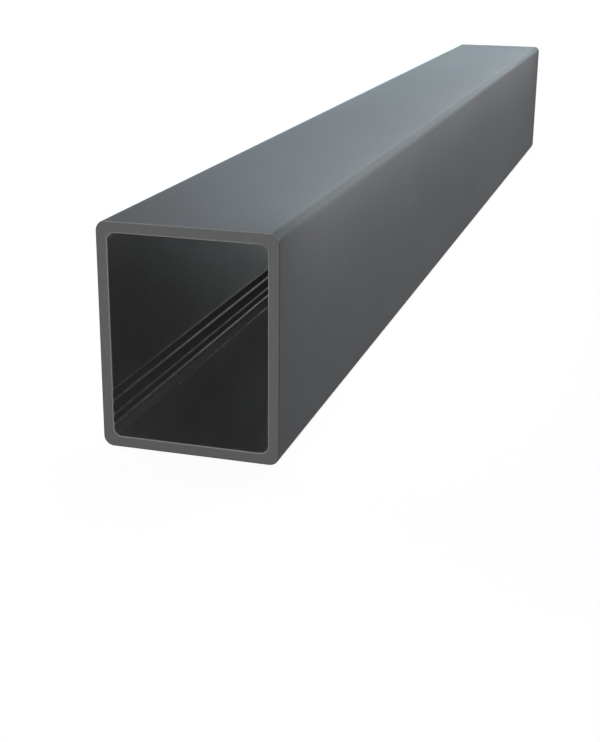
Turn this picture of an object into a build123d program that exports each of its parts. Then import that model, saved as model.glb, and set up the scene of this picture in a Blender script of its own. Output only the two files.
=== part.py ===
from build123d import *
import os

# A cold-formed steel box section, cut to one piece and lying on a narrow side.
# X is its width, Y its length and Z its height. The origin is on the floor,
# under the middle of the piece. Sizes are in millimetres.

# Section
width = 80.0
height = 100.0
wall = 5.0
outer_radius = 4.5
inner_radius = 3.5

# Length, and the small bevel that deburring leaves on the sawn ends
length = 860.0
end_bevel = 0.4

# Weld seam inside, on the -X wall just above the floor: its bead is scarfed to shallow
# grooves with crests between them, and runs out into the wall below and above
seam_gap = 0.7
run_out = 0.9
lower_groove = 4.4
middle_groove = 6.5
upper_groove = 5.3
crest_rise = 0.2
groove_depth = 0.4

# Worked out from the sizes above
inner_width = width - 2 * wall
inner_height = height - 2 * wall
left_wall = -inner_width / 2
right_wall = inner_width / 2
floor = wall
ceiling = height - wall
near_end = -length / 2

# The seam's foot is a gap above the rounded corner, and its crests follow up the wall
seam_foot = floor + inner_radius + seam_gap
low_crest = seam_foot + run_out
second_crest = low_crest + lower_groove
third_crest = second_crest + middle_groove
top_crest = third_crest + upper_groove
seam_top = top_crest + run_out
crest_face = left_wall + crest_rise
crests = [(crest_face, crest_height) for crest_height in (low_crest, second_crest, third_crest, top_crest)]


# The hollow is drawn as one outline: floor, right wall, ceiling, left wall, then the seam
with BuildSketch(Plane.XZ.offset(-near_end)) as hollow:
    with BuildLine():
        Line((left_wall + inner_radius, floor), (right_wall - inner_radius, floor))
        RadiusArc((right_wall - inner_radius, floor), (right_wall, floor + inner_radius), -inner_radius)
        Line((right_wall, floor + inner_radius), (right_wall, ceiling - inner_radius))
        RadiusArc((right_wall, ceiling - inner_radius), (right_wall - inner_radius, ceiling), -inner_radius)
        Line((right_wall - inner_radius, ceiling), (left_wall + inner_radius, ceiling))
        RadiusArc((left_wall + inner_radius, ceiling), (left_wall, ceiling - inner_radius), -inner_radius)
        Line((left_wall, ceiling - inner_radius), (left_wall, seam_top))
        Line((left_wall, seam_top), crests[-1])
        for upper, lower in zip(crests[:0:-1], crests[-2::-1]):
            SagittaArc(upper, lower, -groove_depth)
        Line(crests[0], (left_wall, seam_foot))
        Line((left_wall, seam_foot), (left_wall, floor + inner_radius))
        RadiusArc((left_wall, floor + inner_radius), (left_wall + inner_radius, floor), -inner_radius)
    make_face()


# One piece of stock: the section drawn on the near end and pushed along the length
with BuildPart() as box_section:
    with BuildSketch(Plane.XZ.offset(-near_end)):
        with Locations((0, height / 2)):
            RectangleRounded(width, height, outer_radius)
        add(hollow.sketch, mode=Mode.SUBTRACT)
    extrude(amount=-length)
    near_face = box_section.faces().sort_by(Axis.Y)[0]
    far_face = box_section.faces().sort_by(Axis.Y)[-1]
    chamfer(near_face.edges() + far_face.edges(), end_bevel)

box_section.part.label = "box_section"

os.makedirs("parts", exist_ok=True)
export_step(box_section.part, "parts/box_section.step")
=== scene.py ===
# %% [markdown]
# # A steel box section post
#
# The object is one length of cold-formed steel hollow section, lying on a narrow side: four
# flat walls, small rounded corners, two sawn ends and, inside one wall, the weld seam that
# closes the strip into a tube. A box section looks simple, so its likeness rests on small
# things: the radius of the corners inside and out, the bevel that catches light round the
# mouth, the scarfed seam, a satin skin that turns from slate grey to silver as it is seen at a
# flatter angle, and a dark bore that grows lighter further in.

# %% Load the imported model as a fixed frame
import math

import bmesh
import bpy
from mathutils import Matrix, Vector


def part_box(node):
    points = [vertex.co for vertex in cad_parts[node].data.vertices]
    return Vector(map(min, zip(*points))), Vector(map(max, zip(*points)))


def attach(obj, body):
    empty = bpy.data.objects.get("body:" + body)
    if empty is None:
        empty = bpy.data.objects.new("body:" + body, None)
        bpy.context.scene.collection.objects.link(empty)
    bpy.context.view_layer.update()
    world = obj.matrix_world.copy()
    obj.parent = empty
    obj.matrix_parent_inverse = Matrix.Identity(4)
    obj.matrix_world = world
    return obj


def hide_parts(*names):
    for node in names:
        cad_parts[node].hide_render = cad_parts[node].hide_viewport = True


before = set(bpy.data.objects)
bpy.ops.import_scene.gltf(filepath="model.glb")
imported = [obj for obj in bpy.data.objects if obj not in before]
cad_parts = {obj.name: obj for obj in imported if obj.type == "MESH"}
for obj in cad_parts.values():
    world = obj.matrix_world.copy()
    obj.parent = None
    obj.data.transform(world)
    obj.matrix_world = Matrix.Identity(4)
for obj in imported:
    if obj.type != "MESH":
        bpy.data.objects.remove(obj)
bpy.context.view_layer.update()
low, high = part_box("box_section")
print("CAD section, metres:", [round(side, 4) for side in high - low])

# %% [markdown]
# ## Sizes
#
# The overall sizes come from the frame, so the piece fits it exactly. They could be typed in
# again, but then the two models would drift apart at the first change. The wall, the corner
# radii and the small bevel of the sawn ends are the real thing's own sizes, named once here, in
# metres. The weld seam has its own sizes, measured up the wall from where the rounded corner
# ends: a gap, then four crests with three grooves between them. Each crest also has the
# strength of its painted highlight, from the lowest up.

# %% Name the sizes
MM = 0.001
WALL = 5.0 * MM
OUTER_RADIUS = 4.5 * MM
INNER_RADIUS = 3.5 * MM
CORNER_STEPS = 10
END_BEVEL = 0.4 * MM
END_BEVEL_STEPS = 3
FLAT = 0.99
SAME_PLACE = 1e-6
CUT_TOLERANCE = 1e-7

inner_low = low + Vector((WALL, 0, WALL))
inner_high = high - Vector((WALL, 0, WALL))
print("hollow, metres:", [round(side, 4) for side in inner_high - inner_low])

# %% Name the sizes of the weld seam
SEAM_GAP = 0.7 * MM
RUN_OUT = 0.9 * MM
GROOVE_WIDTHS = [4.4 * MM, 6.5 * MM, 5.3 * MM]
CREST_RISE = 0.2 * MM
GROOVE_DEPTH = 0.4 * MM
GROOVE_STEPS = 8
SEAM_REACH = 2 * MM
CREST_HALF_WIDTH = 0.7 * MM
# Painted highlight: how pale each crest is painted, from the lowest up; it also scales the crest's bead and
# roughness.
CREST_HIGHLIGHTS = [1.0, 0.55, 1.0, 0.6]

seam_foot = INNER_RADIUS + SEAM_GAP
crests = [seam_foot + RUN_OUT]
for width in GROOVE_WIDTHS:
    crests.append(crests[-1] + width)
seam_top = crests[-1] + RUN_OUT
print("crests above the inner floor, mm:", [round(crest / MM, 1) for crest in crests])

# %% [markdown]
# ## The tube
#
# Inside and outside are made apart, each from a cube. The cube's four long edges are bevelled
# to the corner radius, and its two end faces are taken away, which leaves an open sleeve. This
# gives each sleeve its own radius, which one inset of the end face could not.

# %% Make a sleeve with rounded long edges
def long_edges(mesh):
    """The edges that run the whole length of the piece."""
    return [edge for edge in mesh.edges if abs(edge.verts[0].co.y - edge.verts[1].co.y) > 0.5 * (high.y - low.y)]


def make_sleeve(corner_low, corner_high, radius):
    """An open box between two corners, with its long edges rounded."""
    mesh = bmesh.new()
    size = corner_high - corner_low
    placed = Matrix.Translation((corner_low + corner_high) / 2) @ Matrix.Diagonal((*size, 1))
    bmesh.ops.create_cube(mesh, size=1, matrix=placed)
    bmesh.ops.bevel(mesh, geom=long_edges(mesh), offset=radius, segments=CORNER_STEPS, affect="EDGES",
                    profile=0.5, material=-1)
    ends = [face for face in mesh.faces if abs(face.normal.y) > FLAT]
    bmesh.ops.delete(mesh, geom=ends, context="FACES_ONLY")
    return mesh


outside = make_sleeve(low, high, OUTER_RADIUS)
inside = make_sleeve(Vector((inner_low.x, low.y, inner_low.z)), Vector((inner_high.x, high.y, inner_high.z)),
                     INNER_RADIUS)
print("sleeves:", len(outside.faces), "and", len(inside.faces), "faces")

# %% [markdown]
# ## The weld seam
#
# The tube was a flat strip, rolled round and welded along one line. The bead that the weld
# squeezes out inside is shaved down by a scarfing tool, which leaves shallow grooves with
# crests between them. Here the left wall is cut along each row of the seam, and the rows are
# then moved: out at the crests and in at the middle of each groove. The outside gets the same
# cuts, though it stays flat, so that both sleeves have as many points at their ends and the
# ends can be closed with clean four-sided faces.

# %% Cut the rows of the seam in both sleeves
def seam_rows():
    """The heights above the inner floor at which the wall needs a row of points."""
    rows = [seam_foot]
    for lower, upper in zip(crests, crests[1:]):
        rows += [lower + (upper - lower) * step / GROOVE_STEPS for step in range(GROOVE_STEPS)]
    return [*rows, crests[-1], seam_top, seam_top + RUN_OUT]


def left_wall(mesh):
    """The faces of the flat left wall."""
    return [face for face in mesh.faces if abs(face.normal.x) > FLAT and face.calc_center_median().x < 0]


for sleeve in (inside, outside):
    for height in seam_rows():
        faces = left_wall(sleeve)
        edges = {edge for face in faces for edge in face.edges}
        verts = {vert for face in faces for vert in face.verts}
        bmesh.ops.bisect_plane(sleeve, geom=[*faces, *edges, *verts], dist=CUT_TOLERANCE,
                               plane_co=(0, 0, inner_low.z + height), plane_no=(0, 0, 1))
print("rows cut:", len(inside.faces), "and", len(outside.faces), "faces")

# %% Move the inside rows to the seam's relief
def seam_relief(height):
    """How far the wall stands out at a height above the inner floor: above 0 at a crest, below in a groove."""
    if height <= seam_foot or height >= seam_top:
        return 0.0
    if height < crests[0]:
        return CREST_RISE * (height - seam_foot) / RUN_OUT
    if height > crests[-1]:
        return CREST_RISE * (seam_top - height) / RUN_OUT
    for lower, upper in zip(crests, crests[1:]):
        if height <= upper:
            along = (height - lower) / (upper - lower)
            return CREST_RISE - GROOVE_DEPTH * 4 * along * (1 - along)


for vert in inside.verts:
    if abs(vert.co.x - inner_low.x) < SAME_PLACE:
        vert.co.x += seam_relief(vert.co.z - inner_low.z)
print("relief of the first groove, mm:", [round(seam_relief(row) / MM, 2) for row in seam_rows()[:GROOVE_STEPS + 2]])

# %% [markdown]
# ## Ends
#
# The two sleeves go into one mesh, the inner one turned to face inwards, and the loops at each
# end are bridged to make the cut faces. Deburring leaves a small bevel on their edges, which
# catches a thin line of light round the mouth; the bevel is also painted paler, partly as bright
# bare metal and partly as painted highlight.

# %% Join the sleeves and close the cut ends
bmesh.ops.reverse_faces(inside, faces=inside.faces)
hollow_mesh = bpy.data.meshes.new("hollow")
inside.to_mesh(hollow_mesh)
inside.free()
tube = outside
tube.from_mesh(hollow_mesh)
bpy.data.meshes.remove(hollow_mesh)

for end in (low.y, high.y):
    rim = [edge for edge in tube.edges
           if edge.is_boundary and all(abs(vert.co.y - end) < SAME_PLACE for vert in edge.verts)]
    bmesh.ops.bridge_loops(tube, edges=rim)
bmesh.ops.recalc_face_normals(tube, faces=tube.faces)
four_sided = all(len(face.verts) == 4 for face in tube.faces)
print("closed:", all(edge.is_manifold for edge in tube.edges), "four-sided:", four_sided)

# %% Bevel the cut edges
def cut_face(face):
    """Whether a face lies across the tube."""
    return abs(face.normal.y) > FLAT


cut_edges = [edge for edge in tube.edges if sum(cut_face(face) for face in edge.link_faces) == 1]
bmesh.ops.bevel(tube, geom=cut_edges, offset=END_BEVEL, segments=END_BEVEL_STEPS, affect="EDGES",
                profile=0.5, material=-1)
closed = all(edge.is_manifold for edge in tube.edges)
print("tube:", len(tube.verts), "points,", len(tube.faces), "faces, closed:", closed)

# %% [markdown]
# ## Zones of finish
#
# The same steel looks different from place to place: the rolled skin, the rounded corners,
# painted a shade darker as painted shade, the sawn faces, the edges that deburring cut, paler at
# the mouth as bright metal and painted highlight, paler on the top outer edge as painted
# highlight and darker on the other outer edges as painted shade, the bore, and the crests and
# grooves of the seam. These could be told apart by position inside the material, but numbers
# that the mesh carries stay with their faces, work from any side and are easy to check. So each
# face or point gets a number for its zone, and a material reads it by name. The bore reflects
# light in a way of its own, and the grooves with the corner under them are painted shade, so
# they also get a material each, given out by face.

# %% Mark the zones on the mesh
sawn = tube.faces.layers.float.new("sawn")
burr_and_highlight = tube.faces.layers.float.new("burr_and_highlight")
shaded_arris = tube.faces.layers.float.new("shaded_arris")
# Paler end bevels: on the mouth, bright deburred metal and painted highlight, weaker on the left wall's bevel as
# painted shade; on the top outer bevel, painted highlight only.
MOUTH_BURR_AND_HIGHLIGHT = 0.85
LEFT_MOUTH_BURR_AND_HIGHLIGHT = 0.5
UPPER_BEVEL_HIGHLIGHT = 0.6
FACING = 0.25
SKIN_INDEX = 0
BORE_INDEX = 1
GROOVE_SHADE_INDEX = 2
margin = END_BEVEL + 0.2 * MM
for face in tube.faces:
    centre = face.calc_center_median()
    in_hollow = (inner_low.x - margin < centre.x < inner_high.x + margin
                 and inner_low.z - margin < centre.z < inner_high.z + margin)
    at_end = min(centre.y - low.y, high.y - centre.y) < END_BEVEL
    face[sawn] = float(cut_face(face))
    face.material_index = BORE_INDEX if in_hollow and not at_end else SKIN_INDEX
    if at_end and not cut_face(face):
        upper_edge = not in_hollow and face.normal.z > FACING
        left_edge = face.normal.x > FACING
        face[burr_and_highlight] = (LEFT_MOUTH_BURR_AND_HIGHLIGHT if left_edge else MOUTH_BURR_AND_HIGHLIGHT) if in_hollow else UPPER_BEVEL_HIGHLIGHT * upper_edge
        # Painted shade: marks the outer end bevels other than the top ones for a darker tone.
        face[shaded_arris] = float(not in_hollow and not upper_edge)
print("faces sawn, burr:", [round(sum(face[zone] for face in tube.faces)) for zone in (sawn, burr_and_highlight)])
print("faces in the bore:", sum(face.material_index == BORE_INDEX for face in tube.faces))

# %% Mark how far round each outside corner a point is
def corner_tone(place):
    """1 in the middle of an outside corner and 0 where the flats begin."""
    from_x = max(abs(place.x) - (high.x - OUTER_RADIUS), 0)
    from_z = max(abs(place.z - (low.z + high.z) / 2) - ((high.z - low.z) / 2 - OUTER_RADIUS), 0)
    return 2 * from_x * from_z / max(from_x ** 2 + from_z ** 2, 1e-12)


corner = tube.verts.layers.float.new("corner")
for vert in tube.verts:
    vert[corner] = corner_tone(vert.co)
print("corner points:", sum(vert[corner] > 0.01 for vert in tube.verts))

# %% Mark the crests and grooves of the seam
def seam_tone(height):
    """The crest's painted highlight strength on a crest, down to -1 in a groove and 0 away from the seam, by height
    above the inner floor.
    """
    if height <= seam_foot or height >= seam_top + RUN_OUT:
        return 0.0
    nearest, crest_highlight = min((abs(height - crest), crest_highlight) for crest, crest_highlight in zip(crests, CREST_HIGHLIGHTS))
    rise = 1 - nearest / CREST_HALF_WIDTH
    return rise * crest_highlight if rise > 0 else max(rise, -1.0)


def on_left_wall(place):
    """Whether a place lies on the inside of the left wall."""
    return abs(place.x - inner_low.x) < SEAM_REACH


seam = tube.verts.layers.float.new("seam")
for vert in tube.verts:
    vert[seam] = seam_tone(vert.co.z - inner_low.z) if on_left_wall(vert.co) else 0.0
print("seam points:", sum(vert[seam] != 0 for vert in tube.verts))

# %% Give the grooves and the corner under the seam their painted shade
for face in tube.faces:
    centre = face.calc_center_median()
    height = centre.z - inner_low.z
    below_top_crest = on_left_wall(centre) and height < crests[-1]
    # Painted shade: the grooves and the corner under the seam get the dark groove material.
    if face.material_index == BORE_INDEX and below_top_crest and seam_tone(height) <= 0:
        face.material_index = GROOVE_SHADE_INDEX
print("dull faces:", sum(face.material_index == GROOVE_SHADE_INDEX for face in tube.faces))

# %% Finish the piece and seat it in the frame
SHARP_ANGLE = math.radians(40)
for face in tube.faces:
    face.smooth = True
for edge in tube.edges:
    edge.smooth = edge.calc_face_angle(0) < SHARP_ANGLE

tube_mesh = bpy.data.meshes.new("steel_tube")
tube.to_mesh(tube_mesh)
tube.free()
steel_tube = bpy.data.objects.new("steel_tube", tube_mesh)
bpy.context.scene.collection.objects.link(steel_tube)
flats_true = steel_tube.modifiers.new("keep the flats flat", "WEIGHTED_NORMAL")
flats_true.keep_sharp = True
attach(steel_tube, "root")
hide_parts("box_section")

# %% [markdown]
# ## Mill finish
#
# New box section has a thin oxide from the rolling mill, satin and slightly blue, with faint
# streaks along the rolling direction and a cloudy tone. A pale line is painted where a corner
# begins, as a painted highlight, and the skin round the corner is painted a shade darker, as
# painted shade. It could be one plain metal, but oxide hides the metal's mirror, so here it is a
# dark surface with a weak gloss. Noise in object coordinates, stretched along the length, gives
# the streaks at their real size. The helpers come first: each adds a few nodes and hands back
# the socket to go on from.

# %% Make noise, and stretch a value to a new range
def add_noise(material, stretch, scale, detail):
    """Noise in object coordinates, stretched along the three axes."""
    nodes = material.node_tree.nodes
    links = material.node_tree.links
    place = nodes.new("ShaderNodeTexCoord")
    mapping = nodes.new("ShaderNodeMapping")
    mapping.inputs["Scale"].default_value = stretch
    noise = nodes.new("ShaderNodeTexNoise")
    noise.inputs["Scale"].default_value = scale
    noise.inputs["Detail"].default_value = detail
    links.new(place.outputs["Object"], mapping.inputs["Vector"])
    links.new(mapping.outputs["Vector"], noise.inputs["Vector"])
    return noise.outputs["Fac"]


def ranged(material, value, to_low, to_high, from_low=0.3, from_high=0.7):
    """The value stretched from one range to another."""
    nodes = material.node_tree.nodes
    links = material.node_tree.links
    fit = nodes.new("ShaderNodeMapRange")
    fit.inputs["From Min"].default_value = from_low
    fit.inputs["From Max"].default_value = from_high
    fit.inputs["To Min"].default_value = to_low
    fit.inputs["To Max"].default_value = to_high
    links.new(value, fit.inputs["Value"])
    return fit.outputs["Result"]


# %% Do sums and blend colours
def calculate(material, operation, first, second):
    """One step of arithmetic between two sockets, or a socket and a number."""
    nodes = material.node_tree.nodes
    links = material.node_tree.links
    step = nodes.new("ShaderNodeMath")
    step.operation = operation
    for value, socket in zip((first, second), step.inputs):
        if isinstance(value, (int, float)):
            socket.default_value = value
        else:
            links.new(value, socket)
    return step.outputs[0]


def blend_colours(material, share, first, second, way="MIX"):
    """Two colours blended by a share, each a socket or a plain colour."""
    nodes = material.node_tree.nodes
    links = material.node_tree.links
    blend = nodes.new("ShaderNodeMix")
    blend.data_type = "RGBA"
    blend.blend_type = way
    if isinstance(share, (int, float)):
        blend.inputs["Factor"].default_value = share
    else:
        links.new(share, blend.inputs["Factor"])
    for value, name in ((first, "A"), (second, "B")):
        socket = [entry for entry in blend.inputs if entry.name == name and entry.type == "RGBA"][0]
        if isinstance(value, tuple):
            socket.default_value = (*value, 1)
        else:
            links.new(value, socket)
    return [entry for entry in blend.outputs if entry.type == "RGBA"][0]


def from_middle(material, axis):
    """How far a point lies from the middle of the piece along an axis."""
    nodes = material.node_tree.nodes
    place = nodes.new("ShaderNodeTexCoord")
    axes = nodes.new("ShaderNodeSeparateXYZ")
    material.node_tree.links.new(place.outputs["Object"], axes.inputs["Vector"])
    return calculate(material, "ABSOLUTE", axes.outputs[axis], 0)


def zone(material, name):
    """The number that the mesh carries for a zone."""
    attribute = material.node_tree.nodes.new("ShaderNodeAttribute")
    attribute.attribute_name = name
    return attribute.outputs["Fac"]


# %% Start a material and give it grain
def start_material(name, gloss=0.5, metallic=0.0):
    """A new material with the given gloss and share of bare metal, and its shader."""
    material = bpy.data.materials.new(name)
    material.use_nodes = True
    shader = material.node_tree.nodes["Principled BSDF"]
    shader.inputs["Metallic"].default_value = metallic
    shader.inputs["Specular IOR Level"].default_value = gloss
    return material, shader


def add_relief(material, height, strength, depth):
    """A bump node that reads a height, with its depth in metres."""
    bump = material.node_tree.nodes.new("ShaderNodeBump")
    bump.inputs["Strength"].default_value = strength
    bump.inputs["Distance"].default_value = depth
    material.node_tree.links.new(height, bump.inputs["Height"])
    return bump


GRAIN_SCALE = 1100
GRAIN_STRENGTH = 0.12
GRAIN_DEPTH = 0.05 * MM
SPECKLE = 0.10
STREAK_STRETCH = (1, 0.02, 1)
STREAK_SCALE = 420


def add_grain(material, shader, colour):
    """Fine grain over a colour, in tone and in relief."""
    links = material.node_tree.links
    grain = add_noise(material, (1, 1, 1), GRAIN_SCALE, 3)
    speckle = ranged(material, grain, 1 - SPECKLE, 1 + SPECKLE)
    links.new(blend_colours(material, 1.0, colour, speckle, "MULTIPLY"), shader.inputs["Base Color"])
    relief = add_relief(material, grain, GRAIN_STRENGTH, GRAIN_DEPTH)
    links.new(relief.outputs["Normal"], shader.inputs["Normal"])
    return relief


def add_streaks(material):
    """Fine streaks that run along the piece."""
    return add_noise(material, STREAK_STRETCH, STREAK_SCALE, 2)


# %% Make the skin of the outside and the ends
SKIN_DARK = (0.111, 0.110, 0.111)
SKIN_LIGHT = (0.1300, 0.1300, 0.1325)
# Painted highlight: a pale line where each outside corner begins, along the whole length.
EDGE_HIGHLIGHT_TONE = (0.133, 0.135, 0.138)
EDGE_HIGHLIGHT_PLACE = high.x - OUTER_RADIUS + 0.2 * MM
EDGE_HIGHLIGHT_HALF_WIDTH = 1.8 * MM
# Painted shade: the rounded outside corners are painted a shade darker than the flats.
CORNER_PAINTED_SHADE = (0.096, 0.099, 0.102)
# Painted shade: the outer bevels of the ends, all but the top ones, are painted darker.
ARRIS_PAINTED_SHADE = (0.062, 0.062, 0.062)
SAWN_TONE = (0.096, 0.096, 0.0955)
# Bright deburred metal and painted highlight on the mouth's bevel; painted highlight on the top outer bevel.
BURR_AND_HIGHLIGHT_TONE = (0.230, 0.230, 0.227)
CLOUD_STRETCH = (1, 0.45, 1)
CLOUD_SCALE = 14
CLOUD_SHARE = 0.7
STREAK_SHARE = 0.3
SKIN_GLOSS = 0.015
SKIN_ROUGHNESS = (0.525, 0.555)
SAWN_ROUGHNESS_ADDED = 0.1


def make_skin():
    """Cloudy, streaked oxide, with painted shade on the corners and outer end bevels, a painted highlight where the
    corners begin and on the top end bevel, and the sawn faces and mouth in tones of their own.
    """
    material, shader = start_material("mill_skin", SKIN_GLOSS)
    links = material.node_tree.links
    streaks = add_streaks(material)
    clouded = ranged(material, add_noise(material, CLOUD_STRETCH, CLOUD_SCALE, 3), 0.0, CLOUD_SHARE)
    skin_share = calculate(material, "ADD", clouded, ranged(material, streaks, 0.0, STREAK_SHARE))
    flat_skin = blend_colours(material, skin_share, SKIN_DARK, SKIN_LIGHT)
    # Painted shade: darker round the outside corners.
    corner_shaded = blend_colours(material, zone(material, "corner"), flat_skin, CORNER_PAINTED_SHADE)
    # Painted highlight: a pale band centred where the corners begin, by distance across the piece.
    past_highlight = calculate(material, "SUBTRACT", from_middle(material, "X"), EDGE_HIGHLIGHT_PLACE)
    from_highlight = calculate(material, "ABSOLUTE", past_highlight, 0)
    highlight_share = ranged(material, from_highlight, 1.0, 0.0, 0.0, EDGE_HIGHLIGHT_HALF_WIDTH)
    highlighted = blend_colours(material, highlight_share, corner_shaded, EDGE_HIGHLIGHT_TONE)
    # Painted shade: darker on the outer end bevels, except the top ones.
    skin = blend_colours(material, zone(material, "shaded_arris"), highlighted, ARRIS_PAINTED_SHADE)
    with_sawn = blend_colours(material, zone(material, "sawn"), skin, SAWN_TONE)
    # Paler end bevels: bright deburred metal at the mouth, with painted highlight there and along the top outer
    # bevel.
    with_burr_and_highlight = blend_colours(material, zone(material, "burr_and_highlight"), with_sawn, BURR_AND_HIGHLIGHT_TONE)
    add_grain(material, shader, with_burr_and_highlight)
    satin = ranged(material, streaks, *SKIN_ROUGHNESS)
    sawn_rough = calculate(material, "MULTIPLY", zone(material, "sawn"), SAWN_ROUGHNESS_ADDED)
    links.new(calculate(material, "ADD", satin, sawn_rough), shader.inputs["Roughness"])
    return material


steel_tube.data.materials.append(make_skin())
print("skin:", len(steel_tube.data.materials[SKIN_INDEX].node_tree.nodes), "nodes")

# %% [markdown]
# ## Bore
#
# Seen from the mouth, the walls of the bore are almost edge-on, so they hand on the light of
# the far end from bounce to bounce, and lose some at each. That makes the bore dark near the
# mouth and lighter further in. A lamp inside would glare when the tube is seen straight on,
# and a painted gradient would be wrong from the other end. So the bore is plain bare steel,
# rough enough to blur what it mirrors, and the light finds its own way. The crests are the
# same steel, paler where the scarfing tool bared it, with a fine bead along them. Their paler
# tone is also a painted highlight, and it is painted darker, as painted shade, for the last
# stretch at each end, where the crests are also smoother.

# %% Make the steel of the bore
BORE_TONE = (0.560, 0.548, 0.543)
CREST_TONE = (0.950, 0.950, 0.935)
BORE_ROUGHNESS = 0.30
CREST_ROUGHNESS_AT_END = 0.32
CREST_ROUGHNESS_INSIDE = 0.75
CREST_BEAD = 0.2 * MM
# Painted shade: the crests' paler tone is cut to this share at each end and grows inwards.
CREST_END_SHADE = 0.4
CREST_END_SHADE_LENGTH = 0.2


def make_bore():
    """Bare steel, with the crests of the seam picked out paler, partly as bared metal and partly as painted
    highlight, and painted darker near the ends.
    """
    material, shader = start_material("bore_steel", metallic=1.0)
    links = material.node_tree.links
    crest_share = ranged(material, zone(material, "seam"), 0.0, 1.0, 0.0, 0.6)
    # Painted shade near the ends, painted highlight further in; the same share also sets the crests' roughness.
    inward_light = ranged(material, from_middle(material, "Y"), CREST_END_SHADE, 1.0, high.y, high.y - CREST_END_SHADE_LENGTH)
    bare_and_highlight_share = calculate(material, "MULTIPLY", crest_share, inward_light)
    grain_relief = add_grain(material, shader, blend_colours(material, bare_and_highlight_share, BORE_TONE, CREST_TONE))
    bead = add_relief(material, crest_share, 1.0, CREST_BEAD)
    links.new(bead.outputs["Normal"], grain_relief.inputs["Normal"])
    crest_rough = ranged(material, inward_light, CREST_ROUGHNESS_AT_END, CREST_ROUGHNESS_INSIDE, CREST_END_SHADE, 1.0)
    more_rough = calculate(material, "SUBTRACT", crest_rough, BORE_ROUGHNESS)
    crest_more = calculate(material, "MULTIPLY", crest_share, more_rough)
    links.new(calculate(material, "ADD", crest_more, BORE_ROUGHNESS), shader.inputs["Roughness"])
    return material


steel_tube.data.materials.append(make_bore())
print("bore:", len(steel_tube.data.materials[BORE_INDEX].node_tree.nodes), "nodes")

# %% [markdown]
# ## Grooves
#
# The grooves and the rounded corner under the seam are painted dark, as painted shade. Dark
# bare metal would still mirror at a flat angle, which lights the grooves up, so the painted shade
# is a surface without metal and with hardly any gloss, streaked along the length. Under the
# seam, down in the rounded corner, the painted shade is a little lighter.

# %% Make the painted shade of the grooves
# Painted shade: dark matt tones for the grooves, a little lighter in the corner under the seam.
GROOVE_SHADE_DARK = (0.046, 0.046, 0.046)
GROOVE_SHADE_LIGHT = (0.060, 0.060, 0.060)
UNDER_SEAM_SHADE = (0.085, 0.085, 0.085)
GROOVE_GLOSS = 0.015
GROOVE_ROUGHNESS = 0.60


def make_groove_shade():
    """Streaked painted shade, lighter away from the grooves."""
    material, shader = start_material("groove_painted_shade", GROOVE_GLOSS)
    streaked = blend_colours(material, add_streaks(material), GROOVE_SHADE_DARK, GROOVE_SHADE_LIGHT)
    groove_share = ranged(material, zone(material, "seam"), 0.0, 1.0, 0.0, -0.5)
    add_grain(material, shader, blend_colours(material, groove_share, UNDER_SEAM_SHADE, streaked))
    shader.inputs["Roughness"].default_value = GROOVE_ROUGHNESS
    return material


steel_tube.data.materials.append(make_groove_shade())
print("grooves:", len(steel_tube.data.materials[GROOVE_SHADE_INDEX].node_tree.nodes), "nodes")

# %% [markdown]
# ## Floor and world
#
# The piece lies in a white studio. The white could come from strong light, but that would burn
# out the steel too, so it comes from what rays see: a ray from the camera, or one that mirrors
# off the steel, finds the world at a strength of 1, which is plain white. The floor mixes that
# glow with ordinary matt paint, and the paint keeps the soft shadow under the piece. Further
# out, where the lamps don't reach, the glow takes over, so that no grey horizon shows.

# %% Lay the floor
FLOOR_SIDE = 12.0
GLOW = 1.1
GLOW_SHARE_NEAR = 0.85
GLOW_SHARE_FAR = 0.93
FADE_START = 1.0
FADE_END = 3.0

floor_mesh = bpy.data.meshes.new("floor")
floor_bm = bmesh.new()
bmesh.ops.create_grid(floor_bm, x_segments=1, y_segments=1, size=FLOOR_SIDE / 2)
floor_bm.to_mesh(floor_mesh)
floor_bm.free()
floor = bpy.data.objects.new("floor", floor_mesh)
bpy.context.scene.collection.objects.link(floor)


def seen_directly(nodes, links):
    """1 for camera, glossy and transmission rays, 0 for the light that other surfaces scatter."""
    path = nodes.new("ShaderNodeLightPath")
    first = nodes.new("ShaderNodeMath")
    first.operation = "MAXIMUM"
    links.new(path.outputs["Is Camera Ray"], first.inputs[0])
    links.new(path.outputs["Is Glossy Ray"], first.inputs[1])
    second = nodes.new("ShaderNodeMath")
    second.operation = "MAXIMUM"
    links.new(first.outputs[0], second.inputs[0])
    links.new(path.outputs["Is Transmission Ray"], second.inputs[1])
    return second.outputs[0]


def make_floor_white():
    """Matt white paint under a glow that only direct and mirrored rays see."""
    material = bpy.data.materials.new("floor_white")
    material.use_nodes = True
    nodes = material.node_tree.nodes
    links = material.node_tree.links
    shader = nodes["Principled BSDF"]
    shader.inputs["Base Color"].default_value = (0.8, 0.8, 0.8, 1)
    shader.inputs["Roughness"].default_value = 1.0
    shader.inputs["Specular IOR Level"].default_value = 0.0
    glow = nodes.new("ShaderNodeEmission")
    glow.inputs["Color"].default_value = (1, 1, 1, 1)
    glow.inputs["Strength"].default_value = GLOW
    place = nodes.new("ShaderNodeTexCoord")
    distance = nodes.new("ShaderNodeVectorMath")
    distance.operation = "LENGTH"
    links.new(place.outputs["Object"], distance.inputs[0])
    share = ranged(material, distance.outputs["Value"], GLOW_SHARE_NEAR, GLOW_SHARE_FAR, FADE_START, FADE_END)
    mix = nodes.new("ShaderNodeMixShader")
    links.new(calculate(material, "MULTIPLY", seen_directly(nodes, links), share), mix.inputs["Fac"])
    links.new(shader.outputs[0], mix.inputs[1])
    links.new(glow.outputs[0], mix.inputs[2])
    links.new(mix.outputs[0], nodes["Material Output"].inputs["Surface"])
    return material


floor.data.materials.append(make_floor_white())
print("floor, metres:", round(floor.dimensions.x, 1), "square")

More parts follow.
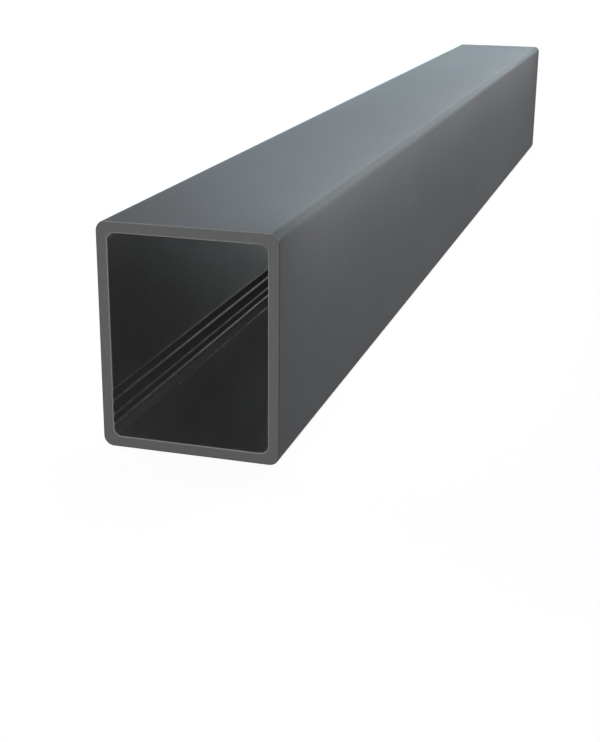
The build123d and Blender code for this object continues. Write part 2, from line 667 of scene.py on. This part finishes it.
# %% Make the world white to direct and mirrored rays
world = bpy.data.worlds.new("studio")
bpy.context.scene.world = world
world.use_nodes = True
world_nodes = world.node_tree.nodes
world_links = world.node_tree.links
background = world_nodes["Background"]
background.inputs["Color"].default_value = (1, 1, 1, 1)
world_links.new(seen_directly(world_nodes, world_links), background.inputs["Strength"])
print("world:", len(world_nodes), "nodes")

# %% [markdown]
# ## Lamps
#
# The photograph has even light on the sawn face, a side that grows lighter towards the far
# end, and a cool silver top. One big lamp would give all faces the same tone, so each gets a
# soft box of its own: two in front for the sawn face and the near side, a cool one overhead for
# the top, one on the left for the side that the camera doesn't see, a low cool one behind for
# the far end and the sheen of the top, and a thin strip that draws the pale line along the
# rounded edge.

# %% Hang the soft boxes
NEAR_END = (0, low.y, 0.05)
COOL = (0.63, 0.765, 1.0)
PALE_CYAN = (0.71, 0.92, 1.0)
WHITE = (1, 1, 1)


def add_softbox(name, place, aim, size, power, colour=WHITE):
    """A rectangular lamp, size in metres and power in watts, turned to face a point."""
    lamp = bpy.data.lights.new(name, "AREA")
    lamp.color = colour
    lamp.shape = "RECTANGLE"
    lamp.size = size[0]
    lamp.size_y = size[1]
    lamp.energy = power
    box = bpy.data.objects.new(name, lamp)
    box.visible_camera = False
    bpy.context.scene.collection.objects.link(box)
    box.location = place
    box.rotation_euler = (Vector(aim) - Vector(place)).to_track_quat("-Z", "Y").to_euler()
    return box


add_softbox("front_right", (0.95, -4.24, 0.81), NEAR_END, (0.8, 0.8), 108)
add_softbox("front_left", (-0.6, -4.0, 1.6), NEAR_END, (0.8, 0.8), 43.5)
add_softbox("overhead", (0.0, 0.7, 2.0), (0, 0.3, 0), (1.2, 1.2), 13.7, COOL)
add_softbox("left", (-2.5, 0.6, 0.5), (0, 0, 0.05), (1.0, 1.0), 50)
add_softbox("rear", (0.0, 2.6, 0.56), (0, 0.1, 0.1), (2.4, 0.5), 33, PALE_CYAN)
add_softbox("edge", (0.07, 0.0, 0.13), (0.04, 0.0, 0.1), (0.82, 0.02), 0.25)

# %% [markdown]
# ## Camera
#
# The long edges of the piece run towards one point in the photograph, and the upright ones
# towards another. These two points give the direction, the roll and the lens together, and the
# corners of the mouth then give the place, close to the near end and above it. A longer lens
# from further away would frame the piece too, but its far end would look too large.

# %% Place the camera
CAMERA_PLACE = Vector((0.1919, low.y - 0.4877, 0.2185))
CAMERA_AZIMUTH = math.radians(16.35)
CAMERA_ELEVATION = math.radians(19.00)
CAMERA_ROLL = math.radians(0.55)
CAMERA_LENS = 63.83
SENSOR_WIDTH = 36

camera_data = bpy.data.cameras.new("camera")
camera_data.lens = CAMERA_LENS
camera_data.sensor_width = SENSOR_WIDTH
camera_data.clip_start = 0.01
camera = bpy.data.objects.new("camera", camera_data)
bpy.context.scene.collection.objects.link(camera)
camera.location = CAMERA_PLACE
turn = Matrix.Rotation(CAMERA_AZIMUTH, 3, "Z") @ Matrix.Rotation(math.pi / 2 - CAMERA_ELEVATION, 3, "X")
camera.rotation_euler = (turn @ Matrix.Rotation(CAMERA_ROLL, 3, "Z")).to_euler()
bpy.context.scene.camera = camera
bpy.context.scene.view_settings.view_transform = "Standard"
print("camera looks along", [round(value, 4) for value in turn @ Vector((0, 0, -1))])
